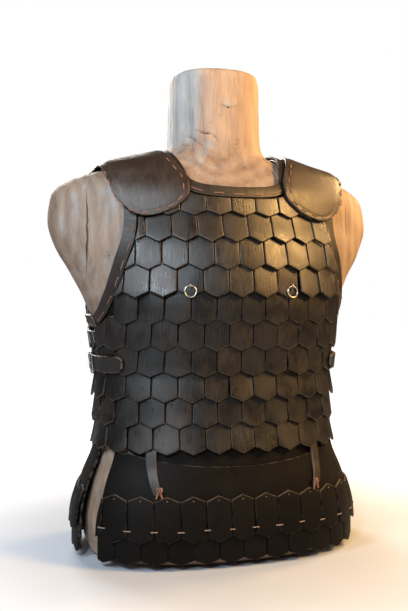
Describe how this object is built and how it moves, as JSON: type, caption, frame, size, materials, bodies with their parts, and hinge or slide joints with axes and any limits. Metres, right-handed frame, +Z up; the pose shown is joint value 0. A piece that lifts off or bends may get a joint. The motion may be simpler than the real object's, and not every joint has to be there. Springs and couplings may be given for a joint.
{
  "type": "scale cuirass on a wooden dress form",
  "caption": "Leather scale cuirass with shoulder pads, side straps and a hung skirt of long plates, shown on a limbless wooden torso form.",
  "frame": {"origin": "on the floor, at the middle of the wooden form's flat bottom", "axes": "+Z up, the wearer's front faces -Y, the wearer's left side is at +X"},
  "size_m": [0.4814, 0.2738, 0.678],
  "materials": {
    "wood": "bare sanded softwood with grain, knots and drying cracks",
    "dark_leather": "dark brown waxed leather, satin, with lighter worn edges",
    "binding_leather": "dark brown leather binding, satin",
    "pad_leather": "brown leather, satin, rubbed lighter at the rim",
    "thong": "orange-brown thong stitches and knots",
    "steel": "satin steel rings, staples and buckles"
  },
  "bodies": {
    "cuirass": {"torso_form": "wood", "front_base": "dark_leather", "neck_band_front": "binding_leather", "front_row_01": "dark_leather", "front_row_02": "dark_leather", "front_row_03": "dark_leather", "front_row_04": "dark_leather", "front_row_05": "dark_leather", "front_row_06": "dark_leather", "front_row_07": "dark_leather", "front_row_08": "dark_leather", "front_row_09": "dark_leather", "front_row_10": "dark_leather", "skirt_panel_front": "dark_leather", "skirt_short_plates_front": "dark_leather", "skirt_long_plates_front": "dark_leather", "back_base": "dark_leather", "neck_band_back": "binding_leather", "back_row_01": "dark_leather", "back_row_02": "dark_leather", "back_row_03": "dark_leather", "back_row_04": "dark_leather", "back_row_05": "dark_leather", "back_row_06": "dark_leather", "back_row_07": "dark_leather", "back_row_08": "dark_leather", "back_row_09": "dark_leather", "back_row_10": "dark_leather", "back_row_11": "dark_leather", "skirt_panel_back": "dark_leather", "skirt_short_plates_back": "dark_leather", "skirt_long_plates_back": "dark_leather", "shoulder_strap_right": "dark_leather", "shoulder_pad_right": "pad_leather", "armhole_band_front_right": "binding_leather", "hanger_front_right": "dark_leather", "armhole_band_back_right": "binding_leather", "hanger_back_right": "dark_leather", "waist_strap_front_right": "dark_leather", "waist_strap_back_right": "dark_leather", "buckle_frame_right": "steel", "buckle_prong_right": "steel", "ring_staple_right": "steel", "shoulder_strap_left": "dark_leather", "shoulder_pad_left": "pad_leather", "armhole_band_front_left": "binding_leather", "hanger_front_left": "dark_leather", "armhole_band_back_left": "binding_leather", "hanger_back_left": "dark_leather", "waist_strap_front_left": "dark_leather", "waist_strap_back_left": "dark_leather", "buckle_frame_left": "steel", "buckle_prong_left": "steel", "ring_staple_left": "steel"},
    "ring_right": {"ring_right": "steel"},
    "ring_left": {"ring_left": "steel"}
  },
  "joints": [
    {"name": "ring_right_swing", "type": "hinge", "parent": "cuirass", "child": "ring_right", "pos_m": [-0.0714, -0.12945, 0.37084], "axis": [-0.9799, 0.1996, 0], "range_deg": [0, 165]},
    {"name": "ring_left_swing", "type": "hinge", "parent": "cuirass", "child": "ring_left", "pos_m": [0.0714, -0.12945, 0.37084], "axis": [-0.9799, -0.1996, 0], "range_deg": [0, 165]}
  ]
}
